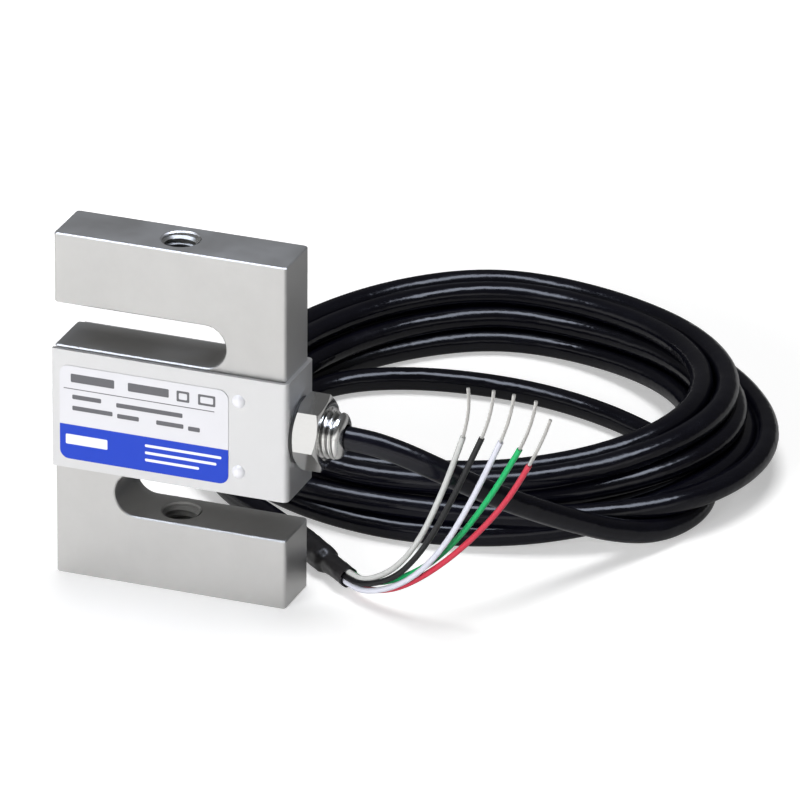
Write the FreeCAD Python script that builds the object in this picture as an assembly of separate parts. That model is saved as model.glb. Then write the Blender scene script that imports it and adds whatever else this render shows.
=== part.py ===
"""S-type load cell with a bent sheet cover, a cable gland and a loosely coiled cable.

Frame: millimetres. +Z runs up the load axis, and z = 0 is the bottom face that the cell stands on.
+X points to the cable outlet, and the data plate faces -Y. The origin is where the load axis
meets the bottom face.

The sensing element is one machined block. Two slots with round ends open to opposite sides and
leave a lower arm, a middle and an upper arm. Strain gauges sit in a pocket on each side of the
middle, under a cover bent from one sheet, and a gland in the side lets the cable in.
"""
import FreeCAD, Part
import math
import os

V = FreeCAD.Vector
X_AXIS = V(1, 0, 0)
Y_AXIS = V(0, 1, 0)
Z_AXIS = V(0, 0, 1)

# ---- Driving dimensions ---------------------------------------------------------------------

# Sensing element
BLOCK_WIDTH = 50.8            # along X
BLOCK_THICKNESS = 12.7        # along Y
ARM_HEIGHT = 15.4             # each of the two arms
SLOT_HEIGHT = 9.4             # each of the two slots, full round at the closed end
MIDDLE_HEIGHT = 26.6          # between the slots
SLOT_END = 12.3               # how far past the load axis a slot reaches
CORNER_RADIUS = 0.8           # upright corners of the block
EDGE_RADIUS = 0.25            # broken edge round the front and back faces
LOAD_BORE_RADIUS = 4.0        # M8 load holes, at the thread's outer diameter
MOUTH_CHAMFER = 0.3           # countersink at the mouths of the load holes

# Gauge pockets, one on each side of the middle, with a thin web between them
POCKET_LENGTH = 26.0
POCKET_HEIGHT = 16.0
POCKET_CORNER = 4.0
WEB_THICKNESS = 3.5
WIRE_BORE_RADIUS = 4.3        # from the gland bore into both pockets
WIRE_BORE_REACH = 4.0         # how far the wire bore runs past the pockets' end

# Cover: one sheet bent into a U round the front, the cable side and the back
SHEET = 0.9
COVER_HEIGHT = 26.3
COVER_DROP = 0.2              # the cover's middle lies this far below the block's
FRONT_GAP = 0.4               # between the block and the front leg, filled by the gasket
BEND_INSIDE = 0.5
BACK_LEG_SHORT = 1.25         # the back leg stops this far before the block's side
GLAND_HOLE_CLEARANCE = 0.1

# Rivets that hold the two legs
RIVET_POCKET_MARGIN = 2.6     # from the pockets' end to the rivets, in the solid metal
RIVET_SPACING = 15.7          # between the upper and the lower rivet
RIVET_SHANK_RADIUS = 0.95
RIVET_HEAD_RADIUS = 1.45
RIVET_HEAD_HEIGHT = 0.8
RIVET_DEPTH = 3.5             # into the block
RIVET_HOLE_CLEARANCE = 0.05

# Data plate on the front leg
PLATE_RIVET_GAP = 0.75        # between the plate's end and the rivets' heads
PLATE_HEIGHT = 20.9
PLATE_THICKNESS = 0.15
PLATE_CORNER = 2.0
PLATE_INSET = 1.7             # from the open end of the cover
PLATE_RISE = 2.1              # above the cover's lower edge

# Gasket and sealant in the front gap
GASKET_INSET = 2.2            # from the cover's edges
GASKET_FRAME_CLEARANCE = 1.0  # round the pocket
SEALANT_INSET = 1.0            # from the block's side, inside its rounded corner
SEALANT_DROP = 1.0             # below the cover's upper edge
SEALANT_HEIGHT = 20.0

# Gland
STEM_RADIUS = 5.0
STEM_LENGTH = 19.0
STEM_SEAT_DEPTH = 7.4         # length of the stem inside the block
STEM_BORE_CLEARANCE = 0.1     # round the cable
STEM_END_CHAMFER = 0.7
BORE_END_GAP = 0.6            # between the stem's end and the bottom of its bore
NUT_ACROSS_FLATS = 15.0
NUT_THICKNESS = 5.7
NUT_CHAMFER = 1.1
WASHER_THICKNESS = 0.6
WASHER_RADIUS = 7.0
SEAL_RADIUS = 3.7
SEAL_LENGTH = 7.4
SEAL_RECESS = 0.6

# Gauges, board and wires in the pockets
GAUGE_LENGTH = 5.0
GAUGE_WIDTH = 3.4
GAUGE_THICKNESS = 0.2
GAUGE_X = -6.5                # middle of each pair of gauges
GAUGE_SPACING = 6.4
GAUGE_ANGLE = 45.0
BOARD_LENGTH = 8.0
BOARD_POCKET_GAP = 1.5         # above and below the board
BOARD_THICKNESS = 0.8
BOARD_X = 4.0                 # middle of the board
RESISTOR_LENGTH = 3.2
RESISTOR_RADIUS = 0.6
RESISTOR_EDGE_GAP = 0.5         # from the board's upper and lower edges
INNER_CORE_RING = 1.45        # the cores' circle inside the jacket's end
INNER_CORE_MARGIN = 0.175      # between the outermost core and a resistor
INNER_CORE_STRAIGHT = 5.0     # the cores leave the jacket straight for this far
INNER_CORE_LEVEL = 3.0        # before the board, where the cores lie at its face's height
INNER_CORE_PASS = 1.0         # past the board's middle, where the cores end
JACKET_INSIDE = 5.5           # the jacket's end, from the block's side

# Cable
CABLE_DIAMETER = 5.0
CORE_DIAMETER = 1.25
CONDUCTOR_DIAMETER = 0.65
CONDUCTOR_SINK = 1.5          # how much of each bare end the core's insulation grips
COIL_CENTRE = (37.5, 90.0)
COIL_OUTER_RADIUS = 58.0
COIL_INNER_CENTRE = (33.0, 91.0)
COIL_INNER_RADIUS = 41.5
COIL_HEIGHT = 15.0
COIL_ROUNDING = 5.0
SLEEVE_START = 14.0           # along the sleeve, before the jacket's end
SLEEVE_REACH = 10.0           # along the sleeve, past the jacket's end
CORE_STRAIGHT = 2.4           # the cores run on past the sleeve's mouth before they bend
SLEEVE_WALL = 0.65
SLEEVE_TAPER = 3.0
SLEEVE_MOUTH_WALL = 0.5
BUNDLE_RING = 1.15            # the five cores' circle inside the sleeve

# Route of the cable from the block to the coil and across the coil's middle. The first point
# is the jacket's end inside the block.
BLOCK_HALF = BLOCK_WIDTH / 2
BLOCK_HEIGHT = 2 * ARM_HEIGHT + 2 * SLOT_HEIGHT + MIDDLE_HEIGHT
MIDDLE_Z = BLOCK_HEIGHT / 2
LEAD_ROUTE = [
    (BLOCK_HALF - JACKET_INSIDE, 0.0, MIDDLE_Z),
    (38.0, 0.0, MIDDLE_Z),
    (46.0, 1.6, 35.6),
    (54.0, 5.5, 30.8),
    (62.0, 12.5, 24.6),
    (68.5, 22.0, 18.0),
    (74.5, 32.0, 11.8),
    (80.5, 41.5, 6.4),
    (86.5, 51.5, 3.0),
    (90.5, 63.5, 2.6),
    (89.0, 76.0, 2.6),
    (82.0, 87.0, 2.6),
    (70.5, 96.5, 2.6),
    (54.5, 105.0, 2.6),
    (36.0, 109.5, 2.6),
    (17.0, 108.5, 2.6),
    (1.0, 102.0, 2.6),
    (-13.0, 91.0, 2.6),
]
# Route of the cable from the coil to the end of its jacket
TAIL_ROUTE = [
    (-17.5, 75.0, 2.6),
    (-16.5, 60.0, 2.6),
    (-10.5, 48.0, 2.6),
    (-1.5, 38.0, 2.6),
    (9.0, 28.5, 2.7),
    (19.0, 19.7, 3.2),
    (26.8, 13.0, 3.2),
]
# Routes of the five cores from the sleeve's mouth to the end of their insulation, and how far
# the bare conductor runs on. Each starts at its own place in the bundle.
CORE_ROUTES = {
    "drain": (90.0, [(39.8, 3.4, 5.0), (44.9, 2.2, 8.2), (48.9, 1.2, 12.6), (52.5, 0.6, 18.4),
                     (55.8, 0.2, 26.0), (59.0, -0.2, 34.6), (61.6, -0.5, 42.6)],
              (62.6, -0.6, 53.6)),
    "black": (162.0, [(41.0, 1.8, 4.8), (47.0, 0.4, 8.2), (51.6, -0.4, 13.6), (55.4, -0.8, 19.8),
                      (59.1, -1.2, 27.4), (62.7, -1.5, 35.6), (66.1, -1.8, 43.6)],
              (68.6, -2.0, 54.6)),
    "white": (234.0, [(40.8, 1.6, 3.2), (47.6, 0.2, 6.4), (53.6, -0.9, 11.8), (58.4, -1.6, 18.4),
                      (62.5, -2.0, 26.0), (66.6, -2.3, 34.8), (70.4, -2.5, 43.8)],
              (73.2, -2.7, 54.8)),
    "green": (18.0, [(41.6, 3.6, 4.4), (47.6, 2.4, 7.2), (54.0, 1.6, 11.8), (60.2, 0.8, 18.8),
                     (65.5, 0.2, 26.8), (70.2, -0.4, 34.8), (73.9, -0.8, 42.0)],
              (77.4, -1.2, 53.4)),
    "red": (306.0, [(41.8, 2.8, 3.0), (48.0, 1.5, 5.6), (55.0, 0.5, 11.0), (61.8, -0.4, 17.8),
                    (68.2, -1.0, 25.6), (72.8, -1.4, 32.4), (76.3, -1.7, 39.2)],
            (80.8, -2.0, 50.2)),
}

# ---- Values that follow from the driving dimensions -------------------------------------------

HALF_THICKNESS = BLOCK_THICKNESS / 2
LOWER_SLOT_Z = ARM_HEIGHT
MIDDLE_BOTTOM = ARM_HEIGHT + SLOT_HEIGHT
MIDDLE_TOP = MIDDLE_BOTTOM + MIDDLE_HEIGHT
UPPER_ARM_Z = MIDDLE_TOP + SLOT_HEIGHT
SLOT_RADIUS = SLOT_HEIGHT / 2
WEB_FACE = WEB_THICKNESS / 2
BOARD_HEIGHT = POCKET_HEIGHT - 2 * BOARD_POCKET_GAP
RESISTOR_OFFSET = BOARD_HEIGHT / 2 - RESISTOR_EDGE_GAP - RESISTOR_RADIUS
INNER_CORE_PITCH = (
    RESISTOR_OFFSET - RESISTOR_RADIUS - INNER_CORE_MARGIN - CORE_DIAMETER / 2) / 2
POCKET_END = POCKET_LENGTH / 2
STEM_INNER_END = BLOCK_HALF - STEM_SEAT_DEPTH
GLAND_BORE_END = STEM_INNER_END - BORE_END_GAP
COVER_BOTTOM = MIDDLE_Z - COVER_DROP - COVER_HEIGHT / 2
COVER_TOP = COVER_BOTTOM + COVER_HEIGHT
COVER_FRONT_INSIDE = -HALF_THICKNESS - FRONT_GAP
COVER_FRONT = COVER_FRONT_INSIDE - SHEET
COVER_BACK = HALF_THICKNESS + SHEET
COVER_SIDE = BLOCK_HALF + SHEET
WASHER_END = COVER_SIDE + WASHER_THICKNESS
NUT_END = WASHER_END + NUT_THICKNESS
STEM_END = STEM_INNER_END + STEM_LENGTH
CABLE_RADIUS = CABLE_DIAMETER / 2
RIVET_X = POCKET_END + RIVET_POCKET_MARGIN
PLATE_LENGTH = RIVET_X - RIVET_HEAD_RADIUS - PLATE_RIVET_GAP - (PLATE_INSET - BLOCK_HALF)
RIVET_HEIGHTS = (MIDDLE_Z - COVER_DROP - RIVET_SPACING / 2, MIDDLE_Z - COVER_DROP + RIVET_SPACING / 2)


# ---- Helpers ---------------------------------------------------------------------------------

def save(name, shape):
    """Write one node and print its solids and volume."""
    solids = shape.Solids
    body = solids[0] if len(solids) == 1 else Part.makeCompound(solids)
    body.exportStep(os.path.join("parts", name + ".step"))
    print("%-22s solids %d  volume %10.2f  valid %s" % (name, len(solids), body.Volume, body.isValid()))
    return body


def block_between(low, high):
    """A box between two corners."""
    return Part.makeBox(high[0] - low[0], high[1] - low[1], high[2] - low[2], V(*low))


def rounded_slab(length, height, corner, y_from, y_to, centre_x, centre_z):
    """A plate in the XZ plane with rounded corners, from y_from to y_to."""
    slab = block_between(
        (centre_x - length / 2, y_from, centre_z - height / 2),
        (centre_x + length / 2, y_to, centre_z + height / 2),
    )
    corners = [e for e in slab.Edges if abs(e.Vertexes[0].Y - e.Vertexes[1].Y) > (y_to - y_from) / 2]
    return slab.makeFillet(corner, corners)


def turned(profile, origin, axis):
    """Revolve a closed profile of (along, radius) pairs about an axis from origin."""
    along = V(*axis).normalize()
    across = along.cross(Z_AXIS if abs(along.z) < 0.9 else X_AXIS).normalize()
    points = [V(*origin) + along * a + across * r for a, r in profile]
    face = Part.Face(Part.makePolygon(points + points[:1]))
    return face.revolve(V(*origin), along, 360)


def route_wire(points):
    """Straight runs joined by tangent arcs, each as large as its two runs allow.

    Returns the wire, its length and its smallest arc radius.
    """
    nodes = [V(*p) for p in points]
    edges = []
    radii = []
    start = nodes[0]
    for before, corner, after in zip(nodes, nodes[1:], nodes[2:]):
        run_in = corner - before
        run_out = after - corner
        trim = 0.45 * min(run_in.Length, run_out.Length)
        heading_in = V(run_in).normalize()
        heading_out = V(run_out).normalize()
        half_turn = heading_in.getAngle(heading_out) / 2
        radius = trim / math.tan(half_turn)
        arc_start = corner - heading_in * trim
        arc_end = corner + heading_out * trim
        inward = (heading_out - heading_in).normalize()
        arc_middle = corner + inward * (radius / math.cos(half_turn) - radius)
        edges.append(Part.LineSegment(start, arc_start).toShape())
        edges.append(Part.Arc(arc_start, arc_middle, arc_end).toShape())
        radii.append(radius)
        start = arc_end
    edges.append(Part.LineSegment(start, nodes[-1]).toShape())
    wire = Part.Wire(edges)
    return wire, wire.Length, min(radii)


def tube(name, points, diameter):
    """A round solid along a route, with its tightest bend and its volume printed."""
    wire, length, tightest = route_wire(points)
    start = V(*points[0])
    heading = (V(*points[1]) - start).normalize()
    ring = Part.Wire(Part.makeCircle(diameter / 2, start, heading))
    solid = wire.makePipeShell([ring], True, True)
    section = math.pi * diameter * diameter / 4
    print("%-22s length %7.1f  tightest bend %5.1f mm (%.1f diameters)  volume / (section x length) %.4f"
          % (name, length, tightest, tightest / diameter, solid.Volume / (section * length)))
    return solid


# ---- Sensing element -------------------------------------------------------------------------

def slot_cutter(bottom, opens_to):
    """A slot of SLOT_HEIGHT that opens to one side and ends in a full round past the load axis."""
    end_centre = -opens_to * (SLOT_END - SLOT_RADIUS)
    mouth = opens_to * BLOCK_WIDTH
    straight = block_between(
        (min(end_centre, mouth), -BLOCK_THICKNESS, bottom),
        (max(end_centre, mouth), BLOCK_THICKNESS, bottom + SLOT_HEIGHT),
    )
    round_end = Part.makeCylinder(
        SLOT_RADIUS, 2 * BLOCK_THICKNESS, V(end_centre, -BLOCK_THICKNESS, bottom + SLOT_RADIUS), Y_AXIS)
    return straight.fuse(round_end).removeSplitter()


def load_bore(bottom, top, chamfer_bottom, chamfer_top):
    """Cutter for a load hole through one arm, with countersunk mouths where asked."""
    overrun = 1.0
    cutter = Part.makeCylinder(
        LOAD_BORE_RADIUS, top - bottom + 2 * overrun, V(0, 0, bottom - overrun), Z_AXIS)
    wide = LOAD_BORE_RADIUS + MOUTH_CHAMFER
    if chamfer_top:
        cutter = cutter.fuse(Part.makeCone(
            LOAD_BORE_RADIUS, wide, MOUTH_CHAMFER, V(0, 0, top - MOUTH_CHAMFER), Z_AXIS))
    if chamfer_bottom:
        cutter = cutter.fuse(Part.makeCone(
            wide, LOAD_BORE_RADIUS, MOUTH_CHAMFER, V(0, 0, bottom), Z_AXIS))
    return cutter


def pocket_space(side):
    """The space of one gauge pocket: side -1 is the front, +1 the back."""
    y_from, y_to = sorted((side * WEB_FACE, side * HALF_THICKNESS))
    return rounded_slab(POCKET_LENGTH, POCKET_HEIGHT, POCKET_CORNER, y_from, y_to, 0, MIDDLE_Z)


def make_sensing_element():
    outer = block_between((-BLOCK_HALF, -HALF_THICKNESS, 0), (BLOCK_HALF, HALF_THICKNESS, BLOCK_HEIGHT))
    upright = [e for e in outer.Edges if abs(e.Vertexes[0].Z - e.Vertexes[1].Z) > 1]
    outer = outer.makeFillet(CORNER_RADIUS, upright)
    body = outer.cut(slot_cutter(LOWER_SLOT_Z, +1)).cut(slot_cutter(MIDDLE_TOP, -1))
    faces = [f for f in body.Faces if abs(abs(f.CenterOfMass.y) - HALF_THICKNESS) < 1e-6]
    rims = {}
    for face in faces:
        for edge in face.OuterWire.Edges:
            if abs(edge.Vertexes[0].X - edge.Vertexes[1].X) > 1e-6 or edge.Curve.TypeId != "Part::GeomLine":
                rims[edge.hashCode()] = edge
    body = body.makeChamfer(EDGE_RADIUS, list(rims.values()))
    for cutter in (
        load_bore(0, ARM_HEIGHT, False, True),
        load_bore(UPPER_ARM_Z, BLOCK_HEIGHT, True, True),
        pocket_space(-1),
        pocket_space(+1),
        Part.makeCylinder(STEM_RADIUS, BLOCK_HALF - GLAND_BORE_END + 1, V(GLAND_BORE_END, 0, MIDDLE_Z), X_AXIS),
        Part.makeCylinder(
            WIRE_BORE_RADIUS, GLAND_BORE_END - POCKET_END + WIRE_BORE_REACH,
            V(POCKET_END - WIRE_BORE_REACH, 0, MIDDLE_Z), X_AXIS),
    ):
        body = body.cut(cutter)
    for z in RIVET_HEIGHTS:
        for side in (-1, 1):
            body = body.cut(Part.makeCylinder(
                RIVET_SHANK_RADIUS, RIVET_DEPTH, V(RIVET_X, side * HALF_THICKNESS, z), Y_AXIS * -side))
    return body


# ---- Cover, rivets, plate and seals ------------------------------------------------------------

def make_cover():
    """One sheet of even thickness: front leg, side and back leg, with two round bends."""
    outside = SHEET + BEND_INSIDE
    diagonal = math.sqrt(0.5)
    front_centre = V(COVER_SIDE - outside, COVER_FRONT + outside, COVER_BOTTOM)
    back_centre = V(COVER_SIDE - outside, COVER_BACK - outside, COVER_BOTTOM)

    def at(x, y):
        return V(x, y, COVER_BOTTOM)

    def bend(centre, radius, start, end, side):
        middle = centre + V(diagonal, side * diagonal, 0) * radius
        return Part.Arc(start, middle, end).toShape()

    def line(start, end):
        return Part.LineSegment(start, end).toShape()

    front_end = -BLOCK_HALF
    back_end = -BLOCK_HALF + BACK_LEG_SHORT
    outer = [
        at(front_end, COVER_FRONT), at(front_centre.x, COVER_FRONT), at(COVER_SIDE, front_centre.y),
        at(COVER_SIDE, back_centre.y), at(back_centre.x, COVER_BACK), at(back_end, COVER_BACK),
    ]
    inner = [
        at(back_end, COVER_BACK - SHEET), at(back_centre.x, COVER_BACK - SHEET),
        at(COVER_SIDE - SHEET, back_centre.y), at(COVER_SIDE - SHEET, front_centre.y),
        at(front_centre.x, COVER_FRONT_INSIDE), at(front_end, COVER_FRONT_INSIDE),
    ]
    edges = [
        line(outer[0], outer[1]), bend(front_centre, outside, outer[1], outer[2], -1),
        line(outer[2], outer[3]), bend(back_centre, outside, outer[3], outer[4], 1),
        line(outer[4], outer[5]), line(outer[5], inner[0]),
        line(inner[0], inner[1]), bend(back_centre, BEND_INSIDE, inner[1], inner[2], 1),
        line(inner[2], inner[3]), bend(front_centre, BEND_INSIDE, inner[3], inner[4], -1),
        line(inner[4], inner[5]), line(inner[5], outer[0]),
    ]
    sheet = Part.Face(Part.Wire(edges)).extrude(V(0, 0, COVER_HEIGHT))
    sheet = sheet.cut(Part.makeCylinder(
        STEM_RADIUS + GLAND_HOLE_CLEARANCE, 4 * SHEET, V(BLOCK_HALF - SHEET, 0, MIDDLE_Z), X_AXIS))
    for z in RIVET_HEIGHTS:
        sheet = sheet.cut(Part.makeCylinder(
            RIVET_SHANK_RADIUS + RIVET_HOLE_CLEARANCE, 3 * BLOCK_THICKNESS,
            V(RIVET_X, -1.5 * BLOCK_THICKNESS, z), Y_AXIS))
    return sheet


def rivet(side, z):
    """A dome rivet through one leg: the head is a cap of a sphere, the shank fills its hole."""
    surface = COVER_FRONT if side < 0 else COVER_BACK
    outward = Y_AXIS * side
    sphere_radius = (RIVET_HEAD_RADIUS ** 2 + RIVET_HEAD_HEIGHT ** 2) / (2 * RIVET_HEAD_HEIGHT)
    seat = V(RIVET_X, surface, z)
    sphere = Part.makeSphere(sphere_radius, seat + outward * (RIVET_HEAD_HEIGHT - sphere_radius))
    head = sphere.common(Part.makeCylinder(2 * RIVET_HEAD_RADIUS, 2 * RIVET_HEAD_HEIGHT, seat, outward))
    shank_length = abs(surface) - HALF_THICKNESS + RIVET_DEPTH
    shank = Part.makeCylinder(RIVET_SHANK_RADIUS, shank_length, seat, outward * -1)
    return head.fuse(shank).removeSplitter()


def make_rivets():
    return Part.makeCompound([rivet(side, z) for side in (-1, 1) for z in RIVET_HEIGHTS])


def make_data_plate():
    return rounded_slab(
        PLATE_LENGTH, PLATE_HEIGHT, PLATE_CORNER, COVER_FRONT - PLATE_THICKNESS, COVER_FRONT,
        -BLOCK_HALF + PLATE_INSET + PLATE_LENGTH / 2, COVER_BOTTOM + PLATE_RISE + PLATE_HEIGHT / 2)


def make_gasket():
    """A sheet gasket in the front gap, open over the pocket and pierced by the rivets."""
    gasket = block_between(
        (-BLOCK_HALF + GASKET_INSET, COVER_FRONT_INSIDE, COVER_BOTTOM + GASKET_INSET),
        (BLOCK_HALF - GASKET_INSET, -HALF_THICKNESS, COVER_TOP - GASKET_INSET),
    )
    gasket = gasket.cut(rounded_slab(
        POCKET_LENGTH + 2 * GASKET_FRAME_CLEARANCE, POCKET_HEIGHT + 2 * GASKET_FRAME_CLEARANCE,
        POCKET_CORNER + GASKET_FRAME_CLEARANCE, COVER_FRONT_INSIDE - SHEET, 0, 0, MIDDLE_Z))
    for z in RIVET_HEIGHTS:
        gasket = gasket.cut(Part.makeCylinder(
            RIVET_SHANK_RADIUS, BLOCK_THICKNESS, V(RIVET_X, -BLOCK_THICKNESS, z), Y_AXIS))
    return gasket


def make_sealant():
    """The bead that closes the front gap between the gasket and the cover's open end."""
    top = COVER_TOP - SEALANT_DROP
    return block_between(
        (-BLOCK_HALF + SEALANT_INSET, COVER_FRONT_INSIDE, top - SEALANT_HEIGHT),
        (-BLOCK_HALF + GASKET_INSET, -HALF_THICKNESS, top),
    )


# ---- Gland -----------------------------------------------------------------------------------

GLAND_ORIGIN = (0, 0, MIDDLE_Z)


def make_gland_stem():
    """Turned stem: threaded outside, bored for the cable and counterbored for the seal."""
    cable_bore = CABLE_RADIUS + STEM_BORE_CLEARANCE
    seal_start = STEM_END - SEAL_RECESS - SEAL_LENGTH
    return turned([
        (STEM_INNER_END, cable_bore), (STEM_INNER_END, STEM_RADIUS - STEM_END_CHAMFER),
        (STEM_INNER_END + STEM_END_CHAMFER, STEM_RADIUS), (STEM_END - STEM_END_CHAMFER, STEM_RADIUS),
        (STEM_END, STEM_RADIUS - STEM_END_CHAMFER), (STEM_END, SEAL_RADIUS),
        (seal_start, SEAL_RADIUS), (seal_start, cable_bore),
    ], GLAND_ORIGIN, (1, 0, 0))


def make_gland_nut():
    """Hexagon nut with a corner at the top, chamfered on its outer face."""
    corner_radius = NUT_ACROSS_FLATS / math.sqrt(3)
    corners = [
        V(WASHER_END, corner_radius * math.sin(math.radians(60 * k)),
          MIDDLE_Z + corner_radius * math.cos(math.radians(60 * k)))
        for k in range(6)
    ]
    prism = Part.Face(Part.makePolygon(corners + corners[:1])).extrude(V(NUT_THICKNESS, 0, 0))
    slope = math.tan(math.radians(30))
    flat_radius = NUT_ACROSS_FLATS / 2 - NUT_CHAMFER * 0.3
    reach = (corner_radius - flat_radius) * slope
    limit = turned([
        (WASHER_END, 0), (WASHER_END, corner_radius), (NUT_END - reach, corner_radius),
        (NUT_END, flat_radius), (NUT_END, 0),
    ], GLAND_ORIGIN, (1, 0, 0))
    bore = Part.makeCylinder(STEM_RADIUS, NUT_THICKNESS, V(WASHER_END, 0, MIDDLE_Z), X_AXIS)
    return prism.common(limit).cut(bore)


def ring_along_x(start, length, outer_radius, inner_radius):
    """A plain ring on the gland's axis."""
    base = V(start, 0, MIDDLE_Z)
    outer = Part.makeCylinder(outer_radius, length, base, X_AXIS)
    return outer.cut(Part.makeCylinder(inner_radius, length, base, X_AXIS))


def make_gland_washer():
    return ring_along_x(COVER_SIDE, WASHER_THICKNESS, WASHER_RADIUS, STEM_RADIUS)


def make_gland_seal():
    return ring_along_x(STEM_END - SEAL_RECESS - SEAL_LENGTH, SEAL_LENGTH, SEAL_RADIUS, CABLE_RADIUS)


# ---- Inside the gauge pockets ----------------------------------------------------------------

def strain_gauge(side, place):
    """A foil gauge bonded flat on the web at 45 degrees: place -1 is the left one, +1 the right."""
    y_from, y_to = sorted((side * WEB_FACE, side * (WEB_FACE + GAUGE_THICKNESS)))
    gauge = block_between(
        (-GAUGE_LENGTH / 2, y_from, -GAUGE_WIDTH / 2), (GAUGE_LENGTH / 2, y_to, GAUGE_WIDTH / 2))
    gauge.rotate(V(0, 0, 0), Y_AXIS, -place * GAUGE_ANGLE)
    gauge.translate(V(GAUGE_X + place * GAUGE_SPACING / 2, 0, MIDDLE_Z))
    return gauge


def make_board():
    face = -WEB_FACE
    return block_between(
        (BOARD_X - BOARD_LENGTH / 2, face - BOARD_THICKNESS, MIDDLE_Z - BOARD_HEIGHT / 2),
        (BOARD_X + BOARD_LENGTH / 2, face, MIDDLE_Z + BOARD_HEIGHT / 2))


def resistor(place):
    """A small round resistor lying on the board, above (+1) or below (-1) the cores."""
    return Part.makeCylinder(
        RESISTOR_RADIUS, RESISTOR_LENGTH,
        V(BOARD_X - RESISTOR_LENGTH / 2, -WEB_FACE - BOARD_THICKNESS - RESISTOR_RADIUS,
          MIDDLE_Z + place * RESISTOR_OFFSET), X_AXIS)


def make_inner_cores():
    """The five cores from the jacket's end to the board, side by side on its face."""
    jacket_end = LEAD_ROUTE[0][0]
    lying_y = -WEB_FACE - BOARD_THICKNESS - CORE_DIAMETER / 2
    cores = []
    for k in range(5):
        angle = math.radians(180 + 72 * k)
        ring_y = INNER_CORE_RING * math.sin(angle)
        ring_z = MIDDLE_Z + INNER_CORE_RING * math.cos(angle)
        cores.append((ring_z, ring_y))
    cores.sort()
    solids = []
    for k, (ring_z, ring_y) in enumerate(cores):
        board_z = MIDDLE_Z + (k - 2) * INNER_CORE_PITCH
        solids.append(tube("inner core %d" % (k + 1), [
            (jacket_end, ring_y, ring_z),
            (jacket_end - INNER_CORE_STRAIGHT, ring_y, ring_z),
            (BOARD_X + BOARD_LENGTH / 2 + INNER_CORE_LEVEL, lying_y, board_z),
            (BOARD_X - INNER_CORE_PASS, lying_y, board_z),
        ], CORE_DIAMETER))
    return Part.makeCompound(solids)


def make_potting(side, buried):
    """Soft compound that fills one pocket round everything in it."""
    fill = pocket_space(side)
    fill = fill.cut(Part.makeCylinder(
        WIRE_BORE_RADIUS, 2 * WIRE_BORE_REACH, V(POCKET_END - WIRE_BORE_REACH, 0, MIDDLE_Z), X_AXIS))
    for shape in buried:
        fill = fill.cut(shape)
    return fill


# ---- Cable -----------------------------------------------------------------------------------

def make_coil():
    """The outer shape of the coiled turns: a ring, wider where the turns fan out."""
    outer = Part.makeCylinder(COIL_OUTER_RADIUS, COIL_HEIGHT, V(*COIL_CENTRE, 0), Z_AXIS)
    outer = outer.makeFillet(COIL_ROUNDING, [e for e in outer.Edges if len(e.Vertexes) == 1])
    inner = Part.makeCylinder(
        COIL_INNER_RADIUS, 3 * COIL_HEIGHT, V(*COIL_INNER_CENTRE, -COIL_HEIGHT), Z_AXIS)
    return outer.cut(inner)


def distance_from_coil(solid):
    centre = solid.CenterOfMass
    return math.hypot(centre.x - COIL_CENTRE[0], centre.y - COIL_CENTRE[1])


def make_lead_and_crossing(coil):
    """The cable up to the coil, and the stretch that lies across the coil's middle."""
    whole = tube("cable lead", LEAD_ROUTE, CABLE_DIAMETER)
    pieces = sorted(whole.cut(coil).Solids, key=distance_from_coil)
    return pieces[-1], pieces[0]


def make_tail(coil):
    """The cable from the coil to the end of its jacket in the sleeve."""
    whole = tube("cable tail", TAIL_ROUTE, CABLE_DIAMETER)
    return max(whole.cut(coil).Solids, key=lambda s: s.Volume)


JACKET_END = V(*TAIL_ROUTE[-1])
SLEEVE_AXIS = (JACKET_END - V(*TAIL_ROUTE[-2])).normalize()
SLEEVE_SIDE = SLEEVE_AXIS.cross(Z_AXIS * -1).normalize()
CORE_RADIUS = CORE_DIAMETER / 2
BUNDLE_RADIUS = BUNDLE_RING + CORE_RADIUS


def make_sleeve(tail):
    """Shrunk sleeve: snug on the jacket, then drawn down over the bundle of cores."""
    outer_wide = CABLE_RADIUS + SLEEVE_WALL
    outer_narrow = BUNDLE_RADIUS + SLEEVE_MOUTH_WALL
    sleeve = turned([
        (-SLEEVE_START, CABLE_RADIUS), (-SLEEVE_START, outer_wide), (0, outer_wide),
        (SLEEVE_TAPER, outer_narrow), (SLEEVE_REACH, outer_narrow),
        (SLEEVE_REACH, BUNDLE_RADIUS), (0, BUNDLE_RADIUS), (0, CABLE_RADIUS),
    ], JACKET_END, SLEEVE_AXIS)
    return sleeve.cut(tail)


def core_place(angle, along):
    """Where a core sits in the bundle, at a distance past the jacket's end."""
    turn = math.radians(angle)
    return (JACKET_END + SLEEVE_AXIS * along
            + SLEEVE_SIDE * (BUNDLE_RING * math.cos(turn)) + Z_AXIS * (BUNDLE_RING * math.sin(turn)))


def make_core(name):
    angle, free_points, tip = CORE_ROUTES[name]
    bundled = [tuple(core_place(angle, 0)), tuple(core_place(angle, SLEEVE_REACH + CORE_STRAIGHT))]
    points = bundled + free_points
    return tube("core " + name, points, CORE_DIAMETER)


def make_conductor(name):
    """The bare end, gripped a little way inside the insulation."""
    angle, free_points, tip = CORE_ROUTES[name]
    end = V(*free_points[-1])
    heading = (end - V(*free_points[-2])).normalize()
    beyond = (V(*tip) - end).Length
    middle = end + heading * (0.5 * beyond)
    points = [tuple(end - heading * CONDUCTOR_SINK), tuple(middle), tip]
    return tube("conductor " + name, points, CONDUCTOR_DIAMETER)


# ---- Build and write every node ----------------------------------------------------------------

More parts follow.
